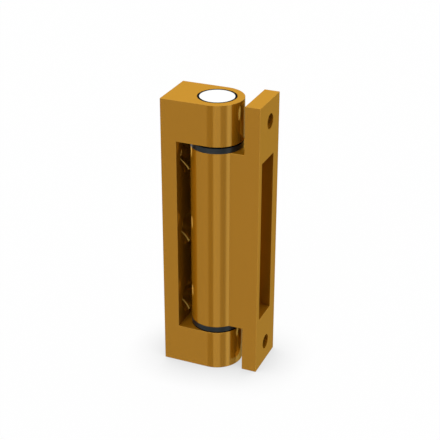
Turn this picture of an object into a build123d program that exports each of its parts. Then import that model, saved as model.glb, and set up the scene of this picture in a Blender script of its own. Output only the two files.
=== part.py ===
"""Block hinge with a drawn pin: a C-shaped frame, the leaf that swings between its ears, and the pin.

Millimetres. The origin is the middle of the frame's row of screw holes, on the frame's mounting face.
+X runs from that face to the leaf's mounting face, +Z runs up along the pin, and the front is at -Y.
"""
import math
import os

from build123d import *

# Frame: a web with an ear at each end and a lip along its back edge, cut from one block
frame_height = 120.0
frame_depth = 22.1
web_thickness = 6.7
lip_thickness = 1.5
lip_gap = 1.25
ear_height = 17.4
pin_ledge_height = 3.0
knock_out_radius = 3.0
frame_hole_spacing = 33.0
frame_hole_count = 3

# Leaf: a barrel, a mounting plate as tall as the frame, and the arm between them
web_gap = 2.05
barrel_set_in = 0.25
ear_gap = 3.35
plate_thickness = 6.45
plate_width = 21.4
plate_set_back = 4.15
plate_hole_end_distance = 9.0
plate_hole_front_distance = 11.2
slot_length = 71.7
slot_width = 13.1
slot_front_wall = 2.9
slot_depth = 6.45

# Screw holes, all countersunk on the pin's side
screw_hole_radius = 3.2
countersink_radius = 7.2

# Pin, bushes and thrust washers
pin_radius = 7.2
pin_end_chamfer = 0.1
bush_wall = 0.78
bush_flange_thickness = 0.5
bush_flange_inset = 0.3
washer_thickness = 2.2
washer_inset = 0.25

# Clearances and edges
running_clearance = 0.05
bush_seat_clearance = 0.02
axial_play = 0.2
edge_break = 0.1

# How near two places must be to count as the same
tolerance = 0.001

# Places that follow from the sizes above
frame_front = -frame_depth / 2
frame_back = frame_depth / 2
frame_bottom = -frame_height / 2
frame_top = frame_height / 2
lower_ear_top = frame_bottom + ear_height
upper_ear_bottom = frame_top - ear_height
knuckle_radius = frame_depth / 2
barrel_radius = knuckle_radius - barrel_set_in
pin_x = web_thickness + web_gap + knuckle_radius
pin_bottom = frame_bottom + pin_ledge_height
lip_front = frame_back - lip_thickness
lip_edge_x = pin_x - math.sqrt((barrel_radius + lip_gap) ** 2 - lip_front ** 2)

bush_bore_radius = pin_radius + running_clearance
bush_outer_radius = bush_bore_radius + bush_wall
bush_seat_radius = bush_outer_radius + bush_seat_clearance
bush_flange_radius = knuckle_radius - bush_flange_inset
washer_radius = knuckle_radius - washer_inset

lower_washer_bottom = lower_ear_top + bush_flange_thickness
barrel_bottom = lower_washer_bottom + washer_thickness
barrel_top = upper_ear_bottom - bush_flange_thickness - axial_play - washer_thickness

plate_inner_x = pin_x + knuckle_radius + ear_gap
plate_outer_x = plate_inner_x + plate_thickness
plate_front = frame_front + plate_set_back
plate_back = plate_front + plate_width
arm_back = barrel_radius
slot_front = plate_front + slot_front_wall
plate_hole_y = plate_front + plate_hole_front_distance
plate_hole_z = frame_height / 2 - plate_hole_end_distance


def box(low, high):
    """A box from its low corner to its high corner."""
    size = [b - a for a, b in zip(low, high)]
    return Pos(*low) * Box(*size, align=(Align.MIN, Align.MIN, Align.MIN))


def cylinder_z(radius, bottom, top, x=pin_x):
    """An upright cylinder, on the pin's axis unless x says otherwise."""
    height = top - bottom
    return Pos(x, 0, bottom) * Cylinder(radius, height, align=(Align.CENTER, Align.CENTER, Align.MIN))


def near(value, target):
    return abs(value - target) < tolerance


def level_edges(solid, z):
    """The edges round the outside of the faces at one height."""
    faces = [face for face in solid.faces().filter_by(Axis.Z) if near(face.center().Z, z)]
    return [edge for face in faces for edge in face.outer_wire().edges()]


def upright_edges(solid, x, y):
    """The edges along Z at one X and Y."""
    return [edge for edge in solid.edges().filter_by(Axis.Z)
            if near(edge.center().X, x) and near(edge.center().Y, y)]


def countersunk_hole(mouth_x, far_x, y, z):
    """The cutter for a screw hole along X: a right-angled cone at mouth_x that leads to far_x."""
    toward_far = 1 if far_x > mouth_x else -1
    depth = countersink_radius - screw_hole_radius
    along_x = Plane(origin=(mouth_x, y, z), x_dir=(0, 1, 0), z_dir=(toward_far, 0, 0))
    align = (Align.CENTER, Align.CENTER, Align.MIN)
    hole = Cylinder(screw_hole_radius, abs(far_x - mouth_x), align=align)
    sink = Cone(countersink_radius, screw_hole_radius, depth, align=align)
    return along_x * (hole + sink)


def make_frame():
    """The C-shaped block with its round-ended ears, its back lip, its pin bores and its screw holes."""
    plan = Pos(pin_x / 2, 0) * Rectangle(pin_x, frame_depth) + Pos(pin_x, 0) * Circle(knuckle_radius)
    frame = extrude(Pos(0, 0, frame_bottom) * plan, frame_height)
    reach = pin_x + frame_depth
    frame -= box((web_thickness, frame_front, lower_ear_top), (reach, lip_front, upper_ear_bottom))
    frame -= box((lip_edge_x, lip_front, lower_ear_top), (reach, frame_back, upper_ear_bottom))

    sharp = level_edges(frame, frame_bottom) + level_edges(frame, frame_top)
    for edge in level_edges(frame, lower_ear_top) + level_edges(frame, upper_ear_bottom):
        if edge.geom_type == GeomType.CIRCLE or near(abs(edge.center().Y), frame_back):
            sharp.append(edge)
    for x, y in ((0, frame_front), (0, frame_back), (web_thickness, frame_front),
                 (lip_edge_x, lip_front), (lip_edge_x, frame_back)):
        sharp += upright_edges(frame, x, y)
    frame = chamfer(sharp, edge_break)

    frame -= cylinder_z(bush_seat_radius, pin_bottom, frame_top)
    frame -= cylinder_z(knock_out_radius, frame_bottom, pin_bottom)
    for number in range(frame_hole_count):
        z = (number - (frame_hole_count - 1) / 2) * frame_hole_spacing
        frame -= countersunk_hole(web_thickness, 0, 0, z)
    return frame


def make_leaf():
    """The barrel, arm and mounting plate, with the slot, the pin bore and the screw holes."""
    arm = box((pin_x, plate_front, barrel_bottom), (plate_outer_x, arm_back, barrel_top))
    plate = box((plate_inner_x, plate_front, frame_bottom), (plate_outer_x, plate_back, frame_top))
    leaf = cylinder_z(barrel_radius, barrel_bottom, barrel_top) + arm + plate
    slot_low = (plate_outer_x - slot_depth, slot_front, -slot_length / 2)
    leaf -= box(slot_low, (plate_outer_x, slot_front + slot_width, slot_length / 2))

    sharp = level_edges(leaf, frame_bottom) + level_edges(leaf, frame_top)
    for edge in level_edges(leaf, barrel_bottom) + level_edges(leaf, barrel_top):
        if not near(edge.center().X, plate_inner_x):
            sharp.append(edge)
    for x in (plate_inner_x, plate_outer_x):
        for y in (plate_front, plate_back):
            sharp += upright_edges(leaf, x, y)
    outer_face = leaf.faces().filter_by(Axis.X).sort_by(Axis.X)[-1]
    for wire in outer_face.inner_wires():
        sharp += wire.edges()
    leaf = chamfer(sharp, edge_break)

    leaf -= cylinder_z(bush_bore_radius, barrel_bottom, barrel_top)
    for z in (-plate_hole_z, plate_hole_z):
        leaf -= countersunk_hole(plate_inner_x, plate_outer_x, plate_hole_y, z)
    return leaf


def make_pin():
    """The plain pin that stands on the ledge in the lower ear and ends flush with the upper ear."""
    pin = cylinder_z(pin_radius, pin_bottom, frame_top)
    return chamfer(pin.edges().filter_by(GeomType.CIRCLE), pin_end_chamfer)


def make_bush(sleeve_bottom, sleeve_top, flange_bottom):
    """A flanged bush pressed into an ear, with its flange against the ear's inner face."""
    sleeve = cylinder_z(bush_outer_radius, sleeve_bottom, sleeve_top)
    flange = cylinder_z(bush_flange_radius, flange_bottom, flange_bottom + bush_flange_thickness)
    bore = cylinder_z(bush_bore_radius, frame_bottom, frame_top)
    return sleeve + flange - bore


def make_washer(bottom):
    """A thrust washer round the pin, between a bush's flange and the barrel."""
    washer = cylinder_z(washer_radius, bottom, bottom + washer_thickness)
    return washer - cylinder_z(bush_bore_radius, bottom, bottom + washer_thickness)


parts = {
    "frame": make_frame(),
    "leaf": make_leaf(),
    "pin": make_pin(),
    "upper_bush": make_bush(upper_ear_bottom, frame_top, upper_ear_bottom - bush_flange_thickness),
    "lower_bush": make_bush(pin_bottom, lower_ear_top, lower_ear_top),
    "upper_washer": make_washer(barrel_top),
    "lower_washer": make_washer(lower_washer_bottom),
}

os.makedirs("parts", exist_ok=True)
for name, part in parts.items():
    export_step(part, f"parts/{name}.step")
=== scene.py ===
import math

import bpy
from mathutils import Matrix, Vector


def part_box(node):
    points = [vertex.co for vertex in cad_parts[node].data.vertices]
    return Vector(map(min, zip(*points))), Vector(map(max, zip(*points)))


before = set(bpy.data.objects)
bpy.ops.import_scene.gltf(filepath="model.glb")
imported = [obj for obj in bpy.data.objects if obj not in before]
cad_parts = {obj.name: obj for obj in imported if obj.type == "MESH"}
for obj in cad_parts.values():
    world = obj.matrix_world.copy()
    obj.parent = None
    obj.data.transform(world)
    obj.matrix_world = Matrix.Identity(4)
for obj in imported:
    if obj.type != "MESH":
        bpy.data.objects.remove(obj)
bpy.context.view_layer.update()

# The hinge's own places, in metres, read from the frame
frame_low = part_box("frame")[0]
pin_low, pin_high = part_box("pin")
FLOOR_Z = frame_low.z
PIN_X = (pin_low.x + pin_high.x) / 2

# The photograph's camera: angles in degrees, distances in metres, the lens in millimetres
CAMERA_AZIMUTH = 22.694
CAMERA_ELEVATION = 26.448
CAMERA_ROLL = -0.135
CAMERA_DISTANCE = 0.4745
CAMERA_AIM = (0.020204, 0.002110, 0.004662)
CAMERA_NEAREST = 0.01
SENSOR_WIDTH = 36.0
LENS = 93.36

# Linear colours
GOLD_DYE = (0.64, 0.25, 0.0096)
GOLD_SHINE = (0.64, 0.384, 0.083)
GOLD_EDGE = (0.75, 0.64, 0.43)
STEEL = (0.93, 0.93, 0.92)
BUSH_BLACK = (0.003, 0.003, 0.003)
WASHER_BLACK = (0.014, 0.020, 0.022)
FLOOR_WHITE = (0.93, 0.93, 0.93)
WHITE = (1.0, 1.0, 1.0)

# Gold: the metal's share of the light, its roughness and the dye's, the clouding and the drawn lines
GOLD_SHINE_SHARE = 0.5
GOLD_SHINE_ROUGHNESS = (0.045, 0.075)
GOLD_DYE_ROUGHNESS = 0.6
GOLD_CLOUD_SCALE = 45.0
GOLD_CLOUD_TONES = (0.985, 1.015)
DRAWN_LINE_SCALE = 3500.0
DRAWN_LINE_STRETCH = (1, 1, 0.012)
DRAWN_LINE_STRENGTH = 0.03
DRAWN_LINE_HEIGHT = 0.00002

# Steel: the turning rings on the pin, and its clouding
STEEL_ROUGHNESS = (0.05, 0.08)
RING_PITCH = 0.0004
RING_STRENGTH = 0.02
RING_HEIGHT = 0.000005
STEEL_CLOUD_SCALE = 90.0
STEEL_CLOUD_TONES = (0.99, 1.0)

# Polymer: the bushes are matt and the washers satin, both with the same grain and clouding
BUSH_ROUGHNESS = 0.6
BUSH_SHINE = 0.02
WASHER_ROUGHNESS = 0.3
WASHER_SHINE = 0.5
GRAIN_SMOOTHER = 0.05
GRAIN_ROUGHER = 0.08
GRAIN_SCALE = 2600.0
GRAIN_STRENGTH = 0.15
GRAIN_HEIGHT = 0.00003
POLYMER_CLOUD_SCALE = 160.0
POLYMER_CLOUD_TONES = (0.85, 1.15)

# Floor: how much of its own white the camera sees, and the hinge's soft shadow on it, painted into that
# white by ambient occlusion
FLOOR_HALF_SIZE = 4.0
FLOOR_GLOW_SHARE = 0.975
FLOOR_PAINTED_SHADOW = 0.46
FLOOR_PAINTED_SHADOW_REACH = 0.02

# The studio. A patch is the azimuth of its middle, its half-width, half its soft edge's width, and the
# level inside it. Azimuths are degrees from +X towards +Y, so the front is at -90. A fade is the two
# heights of a direction, its Z, between which one level gives way to the next
OVERHEAD_LEVEL = 1.12
OVERHEAD_FADE = (0.5, 0.85)
SKY_LEVEL = 1.1
SKY_FADE = (-0.28, -0.1)
SKY_PATCHES = (
    (-40.0, 50.0, 8.0, 0.12),  # dim at the front right
    (35.0, 25.0, 8.0, 0.7),  # dimmer at the back right
    (-98.0, 13.0, 3.0, 4.2),  # the softbox in front
    (-175.0, 63.0, 3.0, 0.15),  # dark at the left, from the back to the softbox
)
SIDE_LEVEL = 0.4
SIDE_PATCHES = (
    (-68.0, 18.0, 4.0, 0.6),  # mirrored by the round faces where they face the camera
    (-17.0, 9.0, 4.0, 0.88),  # the light stripe at their right
    (67.0, 30.0, 15.0, 0.74),  # mirrored by the plate's outer face
    (45.0, 14.0, 6.0, 0.9),  # mirrored by the ears' right ends
    (-95.7, 11.0, 3.0, 0.19),  # the dim stripe at the round faces' left
    (-42.2, 11.0, 3.0, 0.3),  # the dim stripe at their right
    (136.0, 16.0, 2.0, 1.8),  # behind the web's holes, for the slivers on the barrel
)
NADIR_LEVEL = 0.12
NADIR_FADE = (-0.7, -0.6)
NADIR_PATCHES = (
    (158.0, 32.0, 5.0, 1.3),  # mirrored by the lower edges of the web's countersinks
)


def node(tree, kind, **inputs):
    """A node with some of its input sockets set, by name with spaces as underscores."""
    made = tree.nodes.new(kind)
    for name, value in inputs.items():
        made.inputs[name.replace("_", " ")].default_value = value
    return made


def math_node(tree, operation, *values):
    """One step of arithmetic on numbers and outputs of other nodes."""
    made = tree.nodes.new("ShaderNodeMath")
    made.operation = operation
    for socket, value in zip(made.inputs, values):
        if isinstance(value, (int, float)):
            socket.default_value = value
        else:
            tree.links.new(value, socket)
    return made.outputs[0]


def ranged(tree, value, low, high, from_low=0.0, from_high=1.0):
    """A value between from_low and from_high, moved to between low and high."""
    made = node(tree, "ShaderNodeMapRange", From_Min=from_low, From_Max=from_high, To_Min=low, To_Max=high)
    tree.links.new(value, made.inputs["Value"])
    return made.outputs[0]


def blended(tree, share, low, high):
    """The level low where share is 0 and high where it is 1."""
    change = math_node(tree, "SUBTRACT", high, low)
    return math_node(tree, "ADD", low, math_node(tree, "MULTIPLY", share, change))


def mixed_shader(tree, share, first, second):
    """The first shader where share is 0 and the second where it is 1."""
    made = tree.nodes.new("ShaderNodeMixShader")
    if isinstance(share, float):
        made.inputs[0].default_value = share
    else:
        tree.links.new(share, made.inputs[0])
    tree.links.new(first.outputs[0], made.inputs[1])
    tree.links.new(second.outputs[0], made.inputs[2])
    return made


def noise(tree, place, scale, detail=2.0, stretch=(1, 1, 1)):
    mapping = tree.nodes.new("ShaderNodeMapping")
    mapping.inputs["Scale"].default_value = [scale * part for part in stretch]
    tree.links.new(place, mapping.inputs["Vector"])
    made = node(tree, "ShaderNodeTexNoise", Scale=1.0, Detail=detail)
    tree.links.new(mapping.outputs[0], made.inputs["Vector"])
    return made.outputs[0]


def bump(tree, height, strength, distance):
    made = node(tree, "ShaderNodeBump", Strength=strength, Distance=distance)
    tree.links.new(height, made.inputs["Height"])
    return made.outputs[0]


def clouded(tree, cloud, colour, tones):
    """A colour that drifts between two tones of itself."""
    made = tree.nodes.new("ShaderNodeMix")
    made.data_type = "RGBA"
    for name, tone in zip("AB", tones):
        made.inputs[name].default_value = (*(channel * tone for channel in colour), 1.0)
    tree.links.new(cloud, made.inputs["Factor"])
    return made.outputs["Result"]


def material_base(name):
    """A material with a linked shader, and the object's own coordinates."""
    material = bpy.data.materials.new(name)
    material.use_nodes = True
    tree = material.node_tree
    tree.nodes.clear()
    output = tree.nodes.new("ShaderNodeOutputMaterial")
    shader = tree.nodes.new("ShaderNodeBsdfPrincipled")
    tree.links.new(shader.outputs[0], output.inputs["Surface"])
    place = tree.nodes.new("ShaderNodeTexCoord").outputs["Object"]
    return material, output, shader, place


def gold_material():
    """Gold-anodised aluminium: half the light comes back from the dyed layer, half as the metal's shine.

    The shine carries the faint lines of the drawn bar along Z. Matt faces and the dye itself take no light
    from the gold, as in the photograph, where recesses are dark and the floor isn't tinted. Shiny faces
    still mirror it.
    """
    material, output, shine, place = material_base("gold anodised aluminium")
    tree = material.node_tree
    cloud = noise(tree, place, GOLD_CLOUD_SCALE, detail=3.0)
    lines = noise(tree, place, DRAWN_LINE_SCALE, detail=1.0, stretch=DRAWN_LINE_STRETCH)
    lined = bump(tree, lines, DRAWN_LINE_STRENGTH, DRAWN_LINE_HEIGHT)
    tree.links.new(clouded(tree, cloud, GOLD_SHINE, GOLD_CLOUD_TONES), shine.inputs["Base Color"])
    tree.links.new(ranged(tree, lines, *GOLD_SHINE_ROUGHNESS), shine.inputs["Roughness"])
    tree.links.new(lined, shine.inputs["Normal"])
    shine.inputs["Metallic"].default_value = 1.0
    shine.inputs["Specular Tint"].default_value = (*GOLD_EDGE, 1.0)

    dye = node(tree, "ShaderNodeBsdfPrincipled", Roughness=GOLD_DYE_ROUGHNESS, Specular_IOR_Level=0.0)
    tree.links.new(clouded(tree, cloud, GOLD_DYE, GOLD_CLOUD_TONES), dye.inputs["Base Color"])
    tree.links.new(lined, dye.inputs["Normal"])

    gold = mixed_shader(tree, GOLD_SHINE_SHARE, dye, shine)
    nothing = node(tree, "ShaderNodeBsdfDiffuse", Color=(0.0, 0.0, 0.0, 1.0))
    path = tree.nodes.new("ShaderNodeLightPath")
    kept = mixed_shader(tree, path.outputs["Is Diffuse Ray"], gold, nothing)
    tree.links.new(kept.outputs[0], output.inputs["Surface"])
    return material


def steel_material():
    """Ground and polished steel, with fine turning rings round the pin's axis."""
    material, _, shader, place = material_base("polished steel")
    tree = material.node_tree
    apart = tree.nodes.new("ShaderNodeSeparateXYZ")
    tree.links.new(place, apart.inputs[0])
    x = math_node(tree, "SUBTRACT", apart.outputs["X"], PIN_X)
    y = apart.outputs["Y"]
    square = math_node(tree, "ADD", math_node(tree, "MULTIPLY", x, x), math_node(tree, "MULTIPLY", y, y))
    distance = math_node(tree, "SQRT", square)
    rings = math_node(tree, "SINE", math_node(tree, "MULTIPLY", distance, 2 * math.pi / RING_PITCH))
    tree.links.new(ranged(tree, rings, *STEEL_ROUGHNESS, -1.0, 1.0), shader.inputs["Roughness"])
    tree.links.new(bump(tree, rings, RING_STRENGTH, RING_HEIGHT), shader.inputs["Normal"])
    cloud = noise(tree, place, STEEL_CLOUD_SCALE)
    tree.links.new(clouded(tree, cloud, STEEL, STEEL_CLOUD_TONES), shader.inputs["Base Color"])
    shader.inputs["Metallic"].default_value = 1.0
    return material


def polymer_material(name, colour, roughness, shine):
    """Moulded bearing polymer: dark, with a fine grain."""
    material, _, shader, place = material_base(name)
    tree = material.node_tree
    grain = noise(tree, place, GRAIN_SCALE, detail=3.0)
    cloud = noise(tree, place, POLYMER_CLOUD_SCALE)
    rough = ranged(tree, grain, roughness - GRAIN_SMOOTHER, roughness + GRAIN_ROUGHER)
    tree.links.new(clouded(tree, cloud, colour, POLYMER_CLOUD_TONES), shader.inputs["Base Color"])
    tree.links.new(rough, shader.inputs["Roughness"])
    tree.links.new(bump(tree, grain, GRAIN_STRENGTH, GRAIN_HEIGHT), shader.inputs["Normal"])
    shader.inputs["Specular IOR Level"].default_value = shine
    return material


def dress(names, material):
    for name in names:
        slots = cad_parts[name].data.materials
        slots.clear()
        slots.append(material)


def make_camera():
    """The photograph's camera, by its angles round the place that it aims at."""
    azimuth = math.radians(CAMERA_AZIMUTH)
    elevation = math.radians(CAMERA_ELEVATION)
    roll = math.radians(CAMERA_ROLL)
    back = Vector((math.sin(azimuth) * math.cos(elevation),
                   -math.cos(azimuth) * math.cos(elevation),
                   math.sin(elevation)))
    level = Vector((math.cos(azimuth), math.sin(azimuth), 0.0))
    right = level * math.cos(roll) - back.cross(level) * math.sin(roll)
    up = back.cross(right)
    data = bpy.data.cameras.new("camera")
    data.sensor_width = SENSOR_WIDTH
    data.lens = LENS
    data.clip_start = CAMERA_NEAREST
    camera = bpy.data.objects.new("camera", data)
    bpy.context.scene.collection.objects.link(camera)
    turn = Matrix((right, up, back)).transposed()
    camera.matrix_world = Matrix.Translation(Vector(CAMERA_AIM) + back * CAMERA_DISTANCE) @ turn.to_4x4()
    bpy.context.scene.camera = camera


def make_floor():
    """A white floor with the hinge's soft shadow: a real shadow in the small share that is lit, and a
    painted shadow, from ambient occlusion, in the white glow that the camera mostly sees.
    """
    mesh = bpy.data.meshes.new("floor")
    corners = [(x * FLOOR_HALF_SIZE, y * FLOOR_HALF_SIZE, FLOOR_Z)
               for x, y in ((-1, -1), (1, -1), (1, 1), (-1, 1))]
    mesh.from_pydata(corners, [], [(0, 1, 2, 3)])
    floor = bpy.data.objects.new("floor", mesh)
    bpy.context.scene.collection.objects.link(floor)
    material = bpy.data.materials.new("white floor")
    material.use_nodes = True
    tree = material.node_tree
    tree.nodes.clear()
    output = tree.nodes.new("ShaderNodeOutputMaterial")
    diffuse = node(tree, "ShaderNodeBsdfDiffuse", Color=(*FLOOR_WHITE, 1.0))
    # Painted shadow: the glow's strength drops near the hinge, where ambient occlusion finds it
    painted_shadow_occlusion = node(tree, "ShaderNodeAmbientOcclusion", Distance=FLOOR_PAINTED_SHADOW_REACH)
    glow = node(tree, "ShaderNodeEmission", Color=(*WHITE, 1.0))
    tree.links.new(ranged(tree, painted_shadow_occlusion.outputs["AO"], 1 - FLOOR_PAINTED_SHADOW, 1.0), glow.inputs["Strength"])
    path = tree.nodes.new("ShaderNodeLightPath")
    share = math_node(tree, "MULTIPLY", path.outputs["Is Camera Ray"], FLOOR_GLOW_SHARE)
    tree.links.new(mixed_shader(tree, share, diffuse, glow).outputs[0], output.inputs["Surface"])
    mesh.materials.append(material)
    floor.visible_glossy = False
    floor.visible_diffuse = False


def patched(tree, azimuth, level, patches):
    """A level that changes with the azimuth to that of each patch in turn."""
    for centre, half_width, soft, inside in patches:
        turned = math_node(tree, "SUBTRACT", azimuth, centre)
        offset = math_node(tree, "ABSOLUTE", math_node(tree, "WRAP", turned, 180.0, -180.0))
        share = ranged(tree, offset, 1.0, 0.0, half_width - soft, half_width + soft)
        level = blended(tree, share, level, inside)
    return level


def make_world():
    """The studio as the hinge sees it: nadir, side, sky and overhead, one above the other.

    The sky gives most of the light, and upright faces mirror the side. The camera sees plain white.
    """
    world = bpy.data.worlds.new("studio")
    bpy.context.scene.world = world
    world.use_nodes = True
    tree = world.node_tree
    tree.nodes.clear()
    output = tree.nodes.new("ShaderNodeOutputWorld")
    direction = tree.nodes.new("ShaderNodeTexCoord").outputs["Generated"]
    apart = tree.nodes.new("ShaderNodeSeparateXYZ")
    tree.links.new(direction, apart.inputs[0])
    height = apart.outputs["Z"]
    turn = math_node(tree, "ARCTAN2", apart.outputs["Y"], apart.outputs["X"])
    azimuth = math_node(tree, "MULTIPLY", turn, 180 / math.pi)

    level = patched(tree, azimuth, NADIR_LEVEL, NADIR_PATCHES)
    side = patched(tree, azimuth, SIDE_LEVEL, SIDE_PATCHES)
    level = blended(tree, ranged(tree, height, 0.0, 1.0, *NADIR_FADE), level, side)
    sky = patched(tree, azimuth, SKY_LEVEL, SKY_PATCHES)
    sky = blended(tree, ranged(tree, height, 0.0, 1.0, *OVERHEAD_FADE), sky, OVERHEAD_LEVEL)
    level = blended(tree, ranged(tree, height, 0.0, 1.0, *SKY_FADE), level, sky)

    room = node(tree, "ShaderNodeBackground", Color=(*WHITE, 1.0))
    tree.links.new(level, room.inputs["Strength"])
    backdrop = node(tree, "ShaderNodeBackground", Color=(*WHITE, 1.0), Strength=1.0)
    path = tree.nodes.new("ShaderNodeLightPath")
    seen = mixed_shader(tree, path.outputs["Is Camera Ray"], room, backdrop)
    tree.links.new(seen.outputs[0], output.inputs["Surface"])


make_camera()
make_world()
make_floor()
dress(("frame", "leaf"), gold_material())
dress(("pin",), steel_material())
dress(("upper_bush", "lower_bush"),
      polymer_material("black polymer", BUSH_BLACK, BUSH_ROUGHNESS, BUSH_SHINE))
dress(("upper_washer", "lower_washer"),
      polymer_material("blue-black polymer", WASHER_BLACK, WASHER_ROUGHNESS, WASHER_SHINE))

bpy.context.scene.view_settings.view_transform = "Standard"
